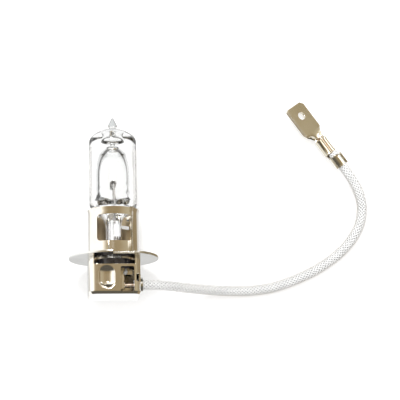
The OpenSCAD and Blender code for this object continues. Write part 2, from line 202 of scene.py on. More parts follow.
def thicken(obj, thickness):
    modifier = obj.modifiers.new("thicken", "SOLIDIFY")
    modifier.thickness = thickness
    modifier.offset = 0
    modifier.use_even_offset = True
    apply_modifiers(obj)


def join(name, objs):
    """One mesh that holds all the given meshes as separate shells."""
    bm = bmesh.new()
    for obj in objs:
        bm.from_mesh(obj.data)
        bpy.data.objects.remove(obj)
    joined = mesh_object(name, [], [])
    bm.to_mesh(joined.data)
    bm.free()
    return joined


def finish_piece(obj, matrix, material, replaced, sharp=40):
    """Moves a piece to the row frame, smooths it, gives it a material and hides the CAD nodes that it
    replaces.
    """
    obj.data.transform(matrix)
    obj.data.shade_smooth()
    obj.data.set_sharp_from_angle(angle=math.radians(sharp))
    obj.data.materials.clear()
    obj.data.materials.append(material)
    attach(obj, "root")
    weighted = obj.modifiers.new("flat faces stay flat", "WEIGHTED_NORMAL")
    weighted.keep_sharp = True
    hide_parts(*replaced)
    return obj


def loft(rings, caps=True, closed=True):
    """Vertices and faces of a skin through rings that all have the same number of points."""
    n = len(rings[0])
    verts = [p for ring in rings for p in ring]
    faces = []
    for i in range(len(rings) - 1):
        for k in range(n if closed else n - 1):
            a, b = i * n + k, i * n + (k + 1) % n
            faces.append((a, b, b + n, a + n))
    if caps:
        faces.append(tuple(range(n - 1, -1, -1)))
        faces.append(tuple(range((len(rings) - 1) * n, len(rings) * n)))
    return verts, faces


def loop(rings):
    """Vertices and faces of a skin through rings, of which the last one meets the first."""
    verts, faces = loft(rings, caps=False)
    n = len(rings[0])
    last = len(verts) - n
    faces += [(last + k, last + (k + 1) % n, (k + 1) % n, k) for k in range(n)]
    return verts, faces


def lathe(name, profile, segments):
    """A closed loop of (radius, z) points turned about the Z axis."""
    rings = []
    for k in range(segments):
        a = 2 * math.pi * k / segments
        rings.append([(r * math.cos(a), r * math.sin(a), z) for r, z in profile])
    return solid(name, *loop(rings))


def prism(name, outline, low, high, axis="Z"):
    """An outline extruded along an axis: (x, y) points along Z, (x, z) points along Y."""
    def place(p, h):
        return (p[0], p[1], h) if axis == "Z" else (p[0], h, p[1])
    return solid(name, *loft([[place(p, h) for p in outline] for h in (low, high)]))


def arc(cx, cy, r, start, end, steps):
    """Points on an arc, angles in degrees, both ends included."""
    angles = [math.radians(start + (end - start) * i / steps) for i in range(steps + 1)]
    return [(cx + r * math.cos(a), cy + r * math.sin(a)) for a in angles]


def circle(r, count, cx=0):
    return arc(cx, 0, r, 0, 360 - 360 / count, count - 1)


def rounded_rect(w, h, r, cx, cy):
    x, y = w / 2 - r, h / 2 - r
    corners = ((x, y, 0), (-x, y, 90), (-x, -y, 180), (x, -y, 270))
    return [p for px, py, a in corners for p in arc(cx + px, cy + py, r, a, a + 90, 8)]


def frames_along(path):
    """Centre, side and up at each point of a path, without twist."""
    points = [Vector(p) for p in path]
    frames = []
    side = None
    for i, p in enumerate(points):
        tangent = (points[min(i + 1, len(points) - 1)] - points[max(i - 1, 0)]).normalized()
        if side is None:
            helper = Vector((0, 0, 1)) if abs(tangent.z) < 0.9 else Vector((0, 1, 0))
            side = tangent.cross(helper).normalized()
        side = (side - tangent * side.dot(tangent)).normalized()
        frames.append((p, side, tangent.cross(side)))
    return frames


def rod(name, path, radius, sides):
    """A round rod along a list of points, with flat ends."""
    angles = [2 * math.pi * k / sides for k in range(sides)]
    rings = []
    for centre, side, up in frames_along(path):
        rings.append([centre + side * radius * math.cos(a) + up * radius * math.sin(a) for a in angles])
    return solid(name, *loft(rings))


def smooth_route(points, per_span):
    """Points on a smooth curve through all the given ones."""
    pts = [Vector(p) for p in points]
    out = []
    for i in range(len(pts) - 1):
        a, b, c, d = pts[max(i - 1, 0)], pts[i], pts[i + 1], pts[min(i + 2, len(pts) - 1)]
        for s in range(per_span):
            t = s / per_span
            out.append(0.5 * (2 * b + (c - a) * t + (2 * a - 5 * b + 4 * c - d) * t * t
                              + (3 * b - a - 3 * c + d) * t * t * t))
    out.append(pts[-1])
    return out


def even_steps(points, step):
    """The same line, resampled to equal steps of about the given length."""
    lengths = [0.0]
    for a, b in zip(points, points[1:]):
        lengths.append(lengths[-1] + (b - a).length)
    count = max(2, round(lengths[-1] / step))
    out, j = [], 0
    for i in range(count + 1):
        want = lengths[-1] * i / count
        while j < len(points) - 2 and lengths[j + 1] < want:
            j += 1
        t = (want - lengths[j]) / (lengths[j + 1] - lengths[j])
        out.append(points[j].lerp(points[j + 1], min(max(t, 0), 1)))
    return out


# ---- Materials ------------------------------------------------------------------------------------

class Nodes:
    """A node tree with short calls for its nodes."""

    def __init__(self, tree):
        self.nodes = tree.nodes
        self.links = tree.links

    def node(self, kind, **settings):
        node = self.nodes.new(kind)
        for key, value in settings.items():
            setattr(node, key, value)
        return node

    def link(self, source, socket):
        """Feeds a socket from a node's output, or gives it a plain number or colour."""
        if isinstance(source, bpy.types.NodeSocket):
            self.links.new(source, socket)
        elif isinstance(source, tuple):
            socket.default_value = (*source, 1)
        else:
            socket.default_value = source

    def coords(self, scale=(1, 1, 1), kind="Object"):
        place = self.node("ShaderNodeTexCoord")
        mapping = self.node("ShaderNodeMapping")
        mapping.inputs["Scale"].default_value = scale
        self.link(place.outputs[kind], mapping.inputs["Vector"])
        return mapping.outputs["Vector"]

    def split(self, vector):
        node = self.node("ShaderNodeSeparateXYZ")
        self.link(vector, node.inputs["Vector"])
        return node.outputs

    def noise(self, scale, detail=3.0, roughness=0.5):
        node = self.node("ShaderNodeTexNoise")
        node.inputs["Scale"].default_value = scale
        node.inputs["Detail"].default_value = detail
        node.inputs["Roughness"].default_value = roughness
        self.link(self.coords(), node.inputs["Vector"])
        return node.outputs["Fac"]

    def ramp(self, fac, stops):
        node = self.node("ShaderNodeValToRGB")
        elements = node.color_ramp.elements
        for i, (place, colour) in enumerate(stops):
            element = elements[i] if i < 2 else elements.new(place)
            element.position = place
            element.color = (*colour, 1)
        self.link(fac, node.inputs["Fac"])
        return node.outputs["Color"]

    def remap(self, value, start, end, low=0.0, high=1.0):
        """Turns the range from start to end into low to high, and holds what lies outside it."""
        node = self.node("ShaderNodeMapRange")
        for key, number in (("From Min", start), ("From Max", end), ("To Min", low), ("To Max", high)):
            node.inputs[key].default_value = number
        self.link(value, node.inputs["Value"])
        return node.outputs["Result"]

    def tones(self, distance, stops):
        """A grey ramp over a distance in metres, up to FLOOR_SPAN each way: (metres, brightness)."""
        place = self.remap(distance, -FLOOR_SPAN, FLOOR_SPAN)
        return self.ramp(place, [(0.5 + x / (2 * FLOOR_SPAN), (tone, tone, tone)) for x, tone in stops])

    def calculate(self, operation, *values):
        node = self.node("ShaderNodeMath", operation=operation)
        for value, socket in zip(values, node.inputs):
            self.link(value, socket)
        return node.outputs["Value"]

    def mix(self, fac, a, b):
        node = self.node("ShaderNodeMix", data_type="RGBA")
        self.link(fac, node.inputs["Factor"])
        self.link(a, node.inputs["A"])
        self.link(b, node.inputs["B"])
        return node.outputs["Result"]


class Shader(Nodes):
    """A material, principled unless another surface is given to it."""

    def __init__(self, name, **sockets):
        self.material = bpy.data.materials.new(name)
        self.material.use_nodes = True
        super().__init__(self.material.node_tree)
        self.bsdf = self.nodes["Principled BSDF"]
        for key, value in sockets.items():
            self.bsdf.inputs[key.replace("_", " ")].default_value = value

    def paint(self, fac, stops):
        self.link(self.ramp(fac, stops), self.bsdf.inputs["Base Color"])

    def roughen(self, fac, low, high):
        self.link(self.remap(fac, 0, 1, low, high), self.bsdf.inputs["Roughness"])

    def bump(self, height, strength, distance):
        node = self.node("ShaderNodeBump")
        node.inputs["Strength"].default_value = strength
        node.inputs["Distance"].default_value = distance
        self.link(height, node.inputs["Height"])
        self.link(node.outputs["Normal"], self.bsdf.inputs["Normal"])

    def emission(self, colour, strength=1.0):
        node = self.node("ShaderNodeEmission")
        node.inputs["Strength"].default_value = strength
        self.link(colour, node.inputs["Color"])
        return node.outputs["Emission"]

    def pick(self, fac, a, b):
        """The first shader where the factor is 0, the second where it is 1."""
        node = self.node("ShaderNodeMixShader")
        self.link(fac, node.inputs["Fac"])
        self.link(a, node.inputs[1])
        self.link(b, node.inputs[2])
        return node.outputs["Shader"]

    def surface(self, shader):
        """Puts another shader in the place of the principled one."""
        self.nodes.remove(self.bsdf)
        self.link(shader, self.nodes["Material Output"].inputs["Surface"])


def quartz():
    """Clear quartz glass, rougher and greyed with painted shade at the melted pip, and a little rippled near
    the pinch.
    """
    s = Shader("quartz", IOR=1.458, Transmission_Weight=1.0)
    y = s.split(s.coords())["Y"]
    pip_z, clear_z, rippled_z, fade = GLASS_TOP + 0.6, 18.5, 16.0, 0.3
    pip, clear, rippled = [(BULB @ Vector((0, 0, z))).y for z in (pip_z, clear_z, rippled_z)]
    pip_shade_and_frost = s.remap(y, pip, pip + fade * MM)
    # The grey at the pip is painted shade: the shaded ground under the dome, seen through it. The pip is
    # also rougher.
    s.paint(pip_shade_and_frost, [(0.0, (0.985, 0.992, 0.99)), (1.0, (0.66, 0.68, 0.68))])
    s.roughen(pip_shade_and_frost, 0.0, 0.12)
    ripple = s.remap(y, clear, rippled, 0.03, 0.5)
    s.bump(s.calculate("MULTIPLY", s.noise(900), ripple), 1.0, 0.0001)
    return s.material


def plated(name, light, dark, rough_low, rough_high):
    """Plated metal: fine drawing marks, faint stains and a slightly uneven gloss."""
    s = Shader(name, Metallic=1.0)
    marks = s.noise(2200, 4, 0.6)
    s.paint(s.noise(190), [(0.35, dark), (0.62, light)])
    s.roughen(marks, rough_low, rough_high)
    s.bump(marks, 0.05, 0.00002)
    return s.material


def tungsten():
    s = Shader("tungsten", Metallic=1.0, Roughness=0.42)
    s.paint(s.noise(5200), [(0.3, (0.32, 0.32, 0.33)), (0.7, (0.56, 0.56, 0.58))])
    return s.material


def glazed_ceramic():
    # The insulator is painted near black: painted shade for the dim hollow under the flange. The glaze's
    # tone varies at random.
    s = Shader("glazed_ceramic", Roughness=0.16, Coat_Weight=0.6, Coat_Roughness=0.05)
    pooling = s.noise(900)
    s.paint(pooling, [(0.3, (0.012, 0.011, 0.014)), (0.7, (0.05, 0.045, 0.05))])
    s.bump(pooling, 0.3, 0.00005)
    return s.material


def glass_braid():
    s = Shader("glass_braid", Roughness=0.34, Sheen_Weight=0.25, Coat_Weight=0.35, Coat_Roughness=0.25)
    s.paint(s.noise(320), [(0.3, (0.88, 0.885, 0.88)), (0.65, (0.97, 0.97, 0.965))])
    s.bump(s.noise(6500), 0.35, 0.00004)
    return s.material


def core_in_painted_shade():
    """The inner sleeving, painted dark grey: painted shade that shows between the bundles of the braid."""
    s = Shader("core_in_painted_shade", Roughness=0.8)
    s.paint(s.noise(4200), [(0.3, (0.24, 0.24, 0.24)), (0.7, (0.36, 0.36, 0.36))])
    return s.material


def copper_strand():
    """Copper wire, tinned in patches."""
    s = Shader("copper_strand", Metallic=1.0, Roughness=0.3)
    s.paint(s.noise(1600), [(0.4, (0.72, 0.5, 0.34)), (0.62, (0.8, 0.77, 0.72))])
    return s.material


def weld_metal():
    s = Shader("weld_metal", Metallic=0.4, Roughness=0.35)
    scale = s.noise(2400, 4)
    s.paint(scale, [(0.35, (0.6, 0.59, 0.57)), (0.6, (0.92, 0.91, 0.88))])
    s.bump(scale, 0.4, 0.00004)
    return s.material


def floor_reflection(s):
    """What metal sees in the sheet: bright white, a warm card, and a grey painted shadow near the bulb;
    hidden from the camera.
    """
    black = (0.0, 0.0, 0.0)
    place = s.split(s.coords())
    x, y = place["X"], place["Y"]
    # Near the bulb the sheet is 0.78 grey to metal: a painted shadow. Beyond the base it is bright.
    beyond_base = s.tones(y, [(-0.0245, 1), (-0.0225, 0)])
    sheet_and_painted_shadow = s.mix(beyond_base, (0.78, 0.78, 0.77), (1.25, 1.25, 1.25))
    past_flange = s.tones(y, [(-0.014, 0), (-0.011, 1)])
    left_of_bulb = s.mix(s.tones(x, [(-0.02, 1), (-0.016, 0)]), black, past_flange)
    sheet_and_painted_shadow = s.mix(left_of_bulb, sheet_and_painted_shadow, (1.35, 1.35, 1.33))
    right_of_bulb = s.tones(x, [(0.014, 0), (0.017, 1)])
    warm = s.mix(right_of_bulb, sheet_and_painted_shadow, (0.34, 0.27, 0.165))
    terminal_y = s.tones(y, [(0.005, 0), (0.008, 1)])
    terminal_x = s.tones(x, [(0.033, 0), (0.036, 1), (0.058, 1), (0.061, 0)])
    return s.mix(s.mix(terminal_x, black, terminal_y), warm, (1.1, 1.1, 1.1))


def floor_paint():
    """
    A white sheet. Polished metal sees it bright to the left of the bulb, beyond the base and by the
    terminal, a warm card to the right, and a grey painted shadow near the bulb. What is seen through glass
    passes to the light panel below.
    """
    s = Shader("studio_floor")
    sheet = s.node("ShaderNodeBsdfDiffuse")
    sheet.inputs["Color"].default_value = (0.9, 0.9, 0.9, 1)
    lit_sheet = s.node("ShaderNodeAddShader")
    s.link(sheet.outputs["BSDF"], lit_sheet.inputs[0])
    s.link(s.emission((1.0, 1.0, 1.0), 0.32), lit_sheet.inputs[1])
    opening = s.node("ShaderNodeBsdfTransparent")
    seen_by = s.node("ShaderNodeLightPath").outputs
    card = s.emission(floor_reflection(s))
    indirect = s.pick(seen_by["Is Transmission Ray"], card, opening.outputs["BSDF"])
    s.surface(s.pick(seen_by["Is Camera Ray"], indirect, lit_sheet.outputs["Shader"]))
    return s.material


def panel_light():
    """White straight below, grey to the sides and dark far out, so that glass shows its outlines."""
    s = Shader("light_panel")
    here = s.coords((1, 1, 0))
    length = s.node("ShaderNodeVectorMath", operation="LENGTH")
    s.link(here, length.inputs[0])
    stops = ((0, 1.1), (1.0, 1.1), (1.15, 0.82), (1.9, 0.78), (2.3, 0.2))
    outwards = s.tones(length.outputs["Value"], [(PANEL_DEPTH * far, tone) for far, tone in stops])
    place = s.split(here)
    aside = s.calculate("ABSOLUTE", place["X"])
    towards_base = s.calculate("MULTIPLY_ADD", aside, -0.4, place["Y"])
    dimmed = s.tones(towards_base, [(-PANEL_DEPTH * 0.8, 0.2), (-PANEL_DEPTH * 0.55, 1.0)])
    both = s.node("ShaderNodeVectorMath", operation="MULTIPLY")
    s.link(outwards, both.inputs[0])
    s.link(dimmed, both.inputs[1])
    s.surface(s.emission(both.outputs["Vector"]))
    return s.material


QUARTZ = quartz()
NICKEL = plated("nickel_plate", (0.86, 0.83, 0.77), (0.8, 0.76, 0.69), 0.07, 0.16)
NICKEL_SATIN = plated("nickel_satin", (0.74, 0.74, 0.73), (0.68, 0.68, 0.67), 0.13, 0.22)
SPRING = plated("spring_strip", (0.82, 0.7, 0.52), (0.72, 0.59, 0.42), 0.26, 0.4)
TINNED = plated("tinned_brass", (0.82, 0.78, 0.68), (0.74, 0.69, 0.57), 0.12, 0.24)
MOLYBDENUM = plated("molybdenum", (0.6, 0.6, 0.61), (0.48, 0.48, 0.5), 0.25, 0.4)
TUNGSTEN = tungsten()
CERAMIC_IN_SHADE = glazed_ceramic()
BRAID = glass_braid()
CORE_IN_SHADE = core_in_painted_shade()
STRAND = copper_strand()
WELD = weld_metal()


# ---- Quartz bulb ------------------------------------------------------------------------------------

def oval_ring(z, half_x, half_y, power, count=128):
    """A ring between a circle, power 2, and a rounded rectangle, power 5 or so."""
    ring = []
    for k in range(count):
        a = 2 * math.pi * k / count
        c, s = math.cos(a), math.sin(a)
        ring.append((half_x * math.copysign(abs(c) ** (2 / power), c),
                     half_y * math.copysign(abs(s) ** (2 / power), s), z))
    return ring


def pinch_rings():
    """The outside of the flat pinch and of the heel where it widens into the tube."""
    pinch_low, neck_low = -0.5, 7.5
    boxy, softer, circular = 5, 2.4, 2
    half_t, half_w = PINCH_T / 2, PINCH_W / 2
    rings = [oval_ring(pinch_low, half_t * 0.8, half_w - 0.4, boxy)]
    rings += [oval_ring(pinch_low + 0.15, half_t * 0.95, half_w - 0.08, boxy)]
    rings += [oval_ring(pinch_low + 0.4 + 0.5 * i, half_t, half_w, boxy) for i in range(16)]
    for i in range(13):
        t = i / 12
        half = half_t + (GLASS_R - HEEL_R - half_t) * t ** 1.81
        rings.append(oval_ring(neck_low + (HEEL_LOW - neck_low) * t, half, half_w,
                               boxy + (softer - boxy) * t ** 2))
    for i in range(1, 13):
        a = math.pi / 2 * i / 12
        grow = math.sin(a)
        half_x = GLASS_R - HEEL_R + HEEL_R * grow
        half_y = half_w + (GLASS_R - half_w) * grow
        rings.append(oval_ring(HEEL_LOW + HEEL_R * (1 - math.cos(a)), half_x, half_y,
                               softer + (circular - softer) * grow))
    return rings


def tube_rings():
    """The outside of the tube, its shoulder and crown, and the melted pip."""
    heel_top, neck_r = HEEL_LOW + HEEL_R, 0.8
    crown_z = GLASS_TOP - CROWN_R
    shoulder_x = GLASS_R - SHOULDER_R
    shoulder_z = crown_z + math.sqrt((CROWN_R - SHOULDER_R) ** 2 - shoulder_x ** 2)
    profile = [(GLASS_R, heel_top + (shoulder_z - heel_top) * i / 24) for i in range(1, 24)]
    meet = math.degrees(math.atan2(shoulder_z - crown_z, shoulder_x))
    last = math.degrees(math.acos((neck_r + 0.35) / CROWN_R))
    profile += arc(shoulder_x, shoulder_z, SHOULDER_R, 0, meet, 10)
    profile += arc(0, crown_z, CROWN_R, meet, last, 26)[1:]
    top = profile[-1][1]
    profile += [(neck_r + 0.12, top + 0.08), (neck_r, top + 0.25)]
    pip = [(neck_r, 0.55), (PIP_R - 0.06, 0.66), (PIP_R, 0.8), (PIP_R - 0.05, 0.95), (0.8, 1.6), (0.5, 2.25),
           (0.27, 2.72), (0.13, 2.9), (0.04, 2.97)]
    profile += [(r, GLASS_TOP + rise) for r, rise in pip]
    return [oval_ring(z, r, r, 2) for r, z in profile]


def cavity_rings():
    """The cavity: a floor over the pinch, the bore, a rounded nose, and the bowl of the exhaust joint."""
    floor_z, floor_r, nose_low, nose_top = 13.1, 1.6, 20.0, 27.7
    channel_r, bowl_r, bowl_low, bowl_h = 0.4, 2.2, 28.0, 2.2
    bore_low = floor_z + floor_r
    profile = [(0.3, floor_z)] + [(BORE_R - floor_r - 0.3 * i, floor_z) for i in range(5, -1, -1)]
    profile += [(BORE_R - floor_r + x, z) for x, z in arc(0, bore_low, floor_r, -80, 0, 10)]
    profile += [(BORE_R, bore_low + (nose_low - bore_low) * i / 8) for i in range(1, 8)]
    for i in range(41):
        t = math.sin(math.pi / 2 * i / 41)
        profile.append((BORE_R * (1 - t ** 2.3) ** 0.5, nose_low + (nose_top - nose_low) * t))
    profile = [(r, z) for r, z in profile if z < nose_top - 0.5 or r > channel_r]
    profile += [(channel_r, nose_top + 0.1), (channel_r, bowl_low - 0.1)]
    for i in range(1, 24):
        a = math.pi * i / 24
        profile.append((max(channel_r, bowl_r * math.sin(a) ** 0.8),
                        bowl_low + bowl_h / 2 * (1 - math.cos(a))))
    return [uneven_ring(z, r) for r, z in profile]


def uneven_ring(height, r):
    """A ring of the cavity; near the pinch the quartz is drawn a little out of round."""
    most, even_above, fade_h = 0.012, 19, 3
    amount = most * max(0.0, min(1.0, (even_above - height) / fade_h))
    ring = []
    for x, y, z in oval_ring(height, r, r, 2):
        a = math.atan2(y, x)
        grow = 1 + amount * (math.sin(7 * a + 5.1 * z) + 0.8 * math.sin(11 * a - 6.3 * z))
        ring.append((x * grow, y * grow, z + 8 * amount * math.sin(5 * a + 0.8)))
    return ring


def make_envelope():
    outer = solid("outer", *loft(pinch_rings() + tube_rings()))
    inner = solid("inner", *loft(cavity_rings()))
    inner.data.flip_normals()
    envelope = join("quartz_bulb", [outer, inner])
    return finish_piece(envelope, BULB, QUARTZ, ["quartz_envelope"], sharp=60)


def make_filament():
    """A coil across the axis, with a short straight leg to the post at each end."""
    turns, radius, wire_r, leg, coil_length = 11, 0.62, 0.13, 0.2, 4.7
    count = turns * 24
    path = [(0, -LEAD_Y, -radius), (0, -LEAD_Y + leg, -radius)]
    for i in range(count + 1):
        turn = 2 * math.pi * turns * i / count
        path.append((radius * math.sin(turn), (i / count - 0.5) * coil_length, -radius * math.cos(turn)))
    path += [(0, LEAD_Y - leg, -radius), (0, LEAD_Y, -radius)]
    coil = rod("coil", [Vector(p) + Vector((-0.05, 0, LIGHT_CENTRE)) for p in path], wire_r, 10)
    return finish_piece(coil, BULB, TUNGSTEN, ["filament"])


def make_posts():
    """The two thin wires that carry the filament, each bent a little out of line."""
    post_r = 0.19
    for name, side in (("filament_post_live", -1), ("filament_post_ground", 1)):
        path = [(0.3, side * LEAD_Y, 8.5), (0.3, side * LEAD_Y, 12.0), (0.2, side * (LEAD_Y - 0.1), 14.5),
                (0.1, side * (LEAD_Y - 0.15), 16.5), (0.05, side * (LEAD_Y - 0.1), LIGHT_CENTRE - 0.4)]
        post = rod("post", smooth_route(path, 6), post_r, 14)
        finish_piece(post, BULB, MOLYBDENUM, [name])


# ---- Sleeve, flange and base ----------------------------------------------------------------------

def make_sleeve():
    """The drawn sleeve: its flared lip, its front and rear windows, and the seam below the front one."""
    out, inn, lip = SLEEVE_R, SLEEVE_R - SHEET, 0.2
    flare_low, flare_mid = SLEEVE_H - 1.0, SLEEVE_H - 0.6
    profile = [(inn, -SEAT_DEPTH), (out, -SEAT_DEPTH), (out, flare_low), (out + 0.04, flare_mid),
               (out + lip, SLEEVE_H), (out + lip - SHEET, SLEEVE_H), (inn + 0.04, flare_mid),
               (inn, flare_low)]
    sleeve = lathe("sleeve_shell", profile, 192)
    window = rounded_rect(WINDOW_W, WINDOW_H, 0.9, 0, WINDOW_Z + WINDOW_H / 2)
    seam_x, seam_gap = -1.4, 0.14
    left, right = seam_x - seam_gap / 2, seam_x + seam_gap / 2
    seam = [(left, -1), (right, -1), (right, WINDOW_Z + 1), (left, WINDOW_Z + 1)]
    cut(sleeve, prism("window", window, -9, 9, "Y"))
    cut(sleeve, prism("seam", seam, -8, -4, "Y"))
    bevel(sleeve, 0.07, 2)
    return finish_piece(sleeve, BULB, NICKEL, ["holder_sleeve"])


def make_flange():
    """The round plate, with its slanted notch, its bore and the coined seat round the bore."""
    start = math.degrees(math.asin(NOTCH_LEFT / FLANGE_R)) - 90
    end = math.degrees(math.asin((NOTCH_RIGHT + NOTCH_SLANT) / FLANGE_R)) - 90
    rim = arc(0, 0, FLANGE_R, end, start + 360, 160)
    plate = prism("flange_plate", rim + [(NOTCH_LEFT, -NOTCH_R), (NOTCH_RIGHT, -NOTCH_R)], -FLANGE_T, 0)
    hole = prism("hole", circle(FLANGE_BORE_R, 120), -3, 3)
    seat = prism("seat", circle(SEAT_R, 120), -SEAT_DEPTH, 3)
    cut(plate, hole, seat)
    bevel(plate, 0.12, 3, 40)
    return finish_piece(plate, BULB, NICKEL_SATIN, ["flange"])


def housing_ring(z, inset):
    """The housing's outline at one height, with the pressed oval in its front."""
    x, y = BASE_W / 2 - inset, BASE_D / 2 - inset
    front, back = BASE_FRONT_R - inset, BASE_R - inset
    corners = ((x - back, y - back, back, 0), (back - x, y - back, back, 90),
               (front - x, front - y, front, 180), (x - front, front - y, front, 270))
    bends = [arc(cx, cy, r, a, a + 90, 12) for cx, cy, r, a in corners]
    ring = []
    for i, count in enumerate((10, 10, 56, 10)):
        (ax, ay), (bx, by) = bends[i][-1], bends[(i + 1) % 4][0]
        ring += bends[i]
        ring += [(ax + (bx - ax) * k / count, ay + (by - ay) * k / count) for k in range(1, count)]
    return [(px, py + press_depth(px, z) if py < 0.01 - y else py, z) for px, py in ring]


def make_housing():
    """The boxed shell, with its lower rim turned in, and its openings."""
    top, low, rows, rim_h, rim_in, rim_rows = -FLANGE_T, -BASE_H, 58, 0.75, 0.36, 6
    heights = [top + (low + rim_h - top) * i / rows for i in range(rows + 1)]
    rings = [housing_ring(z, 0) for z in heights]
    for i in range(1, rim_rows + 1):
        t = i / rim_rows
        rings.append(housing_ring(low + rim_h * (1 - t), rim_in * t ** 1.3))
    rings += [housing_ring(z, SHEET) for z in [low] + heights[::-1]]
    shell = solid("housing_shell", *loop(rings))
    # Openings in the front: the window over the contact, the slot under the flange, and a notch that
    # runs round the right-hand bend.
    port = rounded_rect(3.3, 6.2, 0.4, 3.05, -6.3)
    slot = [(-5, -2.6), (4.9, -2.6), (4.9, 0), (-5, 0)]
    side_port = [(5.2, -6.8), (8, -6.8), (8, -5), (5.2, -5)]
    cut(shell, prism("port", port, -8, -5, "Y"), prism("slot", slot, -8, -4.4, "Y"),
        prism("side_port", side_port, -8, -3.6, "Y"))
    exit_r, exit_y, exit_z = 1.5, -0.9, -7.1
    exit_hole = prism("exit_hole", circle(exit_r, 30), 4, 9)
    sideways = Matrix.Rotation(math.pi / 2, 4, "Y")
    exit_hole.data.transform(Matrix.Translation((0, exit_y, exit_z)) @ sideways)
    cut(shell, exit_hole)
    bevel(shell, 0.08, 2, 50)
    return finish_piece(shell, BULB, NICKEL, ["base_housing"], sharp=50)


def press_depth(x, z):
    """Depth of the pressed oval bowl in the front wall, with a soft rim."""
    cx, cz, half_w, half_h, deep, rim = -1.95, -5.8, 2.05, 2.9, 1.0, 0.14
    dz = max(abs(z - cz) - (half_h - half_w), 0)
    d = min(1.0, math.hypot(x - cx, dz) / half_w)
    soft = min(1.0, (1 - d) / rim)
    return deep * (1 - d ** 2.1) * soft * (2 - soft)


def weld_drop(cx, cy, high, low, half_w):
    """A drop of weld, fatter towards its foot and hanging a little aslant."""
    half_t, slant = 0.5, 0.25
    rings = []
    for i in range(13):
        t = i / 12
        fat = max(0.06, math.sin(math.pi * t ** 1.7))
        ring = oval_ring(high + (low - high) * t, half_w * fat, half_t * fat, 2, 24)
        rings.append([(x + cx - slant * (t - 0.5), y + cy, z) for x, y, z in ring])
    return solid("drop", *loft(rings))


def make_contact_welds():
    """The drop of weld that joins the live wire to its strip, and the one on the ground wire."""
    drops = [weld_drop(2.75, -2.75, -3.0, -4.9, 0.55), weld_drop(0.45, 2.9, -4.6, -5.3, 0.5)]
    return finish_piece(join("weld_drops", drops), BULB, WELD, ["contact_welds"], sharp=70)


# ---- Lead -------------------------------------------------------------------------------------------

def braid_carrier(frames, step, k, way):
    """Rings of one flat bundle of fibres that winds round the lead, over two and under two."""
    mid, wave, half_w, half_t = LEAD_D / 2 - 0.18, 0.07, 0.2, 0.12
    section = [(1, 0), (0.55, 0.9), (-0.55, 0.9), (-1, 0), (-0.55, -0.9), (0.55, -0.9)]
    centres = []
    for i, (p, side, up) in enumerate(frames):
        turns = i * step / BRAID_PITCH
        r = mid + way * wave * math.cos(math.pi * (k + way * CARRIERS * turns - 0.25))
        angle = 2 * math.pi * (way * turns + k / CARRIERS)
        out = side * math.cos(angle) + up * math.sin(angle)
        centres.append((p + out * r, out))
    rings = []
    for i, (centre, out) in enumerate(centres):
        run = (centres[min(i + 1, len(centres) - 1)][0] - centres[max(i - 1, 0)][0]).normalized()
        across = run.cross(out).normalized()
        face = across.cross(run)
        rings.append([centre + across * half_w * u + face * half_t * v for u, v in section])
    return rings


def make_lead():
    """The braided lead, a core under a braid of two ways, and the line along its middle."""
    path = even_steps(smooth_route(ROUTE, 12), 0.16)
    step = sum((b - a).length for a, b in zip(path, path[1:])) / (len(path) - 1)
    frames = frames_along(path)
    core_r = LEAD_D / 2 - 0.25
    core = rod("core", path[::4] + [path[-1]], core_r, 16)
    core_faces = len(core.data.polygons)
    shells = [core]
    for way in (1, -1):
        for k in range(CARRIERS):
            shells.append(mesh_object("carrier", *loft(braid_carrier(frames, step, k, way))))
    lead = join("braided_lead", shells)
    finish_piece(lead, WORLD_MM, BRAID, ["lead_cable"], sharp=80)
    # The core's dark grey material is painted shade in the gaps between the bundles.
    lead.data.materials.append(CORE_IN_SHADE)
    for face in lead.data.polygons[:core_faces]:
        face.material_index = 1
    return lead, [tuple(p * MM) for p in path[::3] + [path[-1]]]


# ---- Blade terminal ---------------------------------------------------------------------------------

def make_terminal():
    """The blade, the strip with its insulation crimp, and the conductor crimp."""
    root, half_w, chamfer, nick, shoulder = TERMINAL_L - TAB_L, TAB_W / 2, 0.9, 0.5, 0.4
    outline = [(root - shoulder, -half_w + 0.5), (root, -half_w), (TERMINAL_L - chamfer, -half_w),
               (TERMINAL_L, -half_w + chamfer), (TERMINAL_L, half_w - nick), (TERMINAL_L - nick, half_w),
               (root, half_w), (root - shoulder, half_w - 0.5)]
    blade = prism("blade", outline, 0, TAB_T)
    cut(blade, prism("hole", circle(BLADE_HOLE_R, 45, TERMINAL_L - BLADE_HOLE_IN), -2, 3))
    bevel(blade, 0.12, 3, 30)
    terminal = join("crimped_blade", [blade, crimp_sheet(), lobed_crimp()])
    return finish_piece(terminal, TERMINAL, TINNED, ["blade_terminal"], sharp=45)


def curl(half_width, radius, count=33):
    """Cross-section of a strip of the given half width, curled up to the given radius."""
    angles = [half_width * (2 * i / (count - 1) - 1) / radius for i in range(count)]
    return [(radius * math.sin(a), radius * (1 - math.cos(a))) for a in angles]


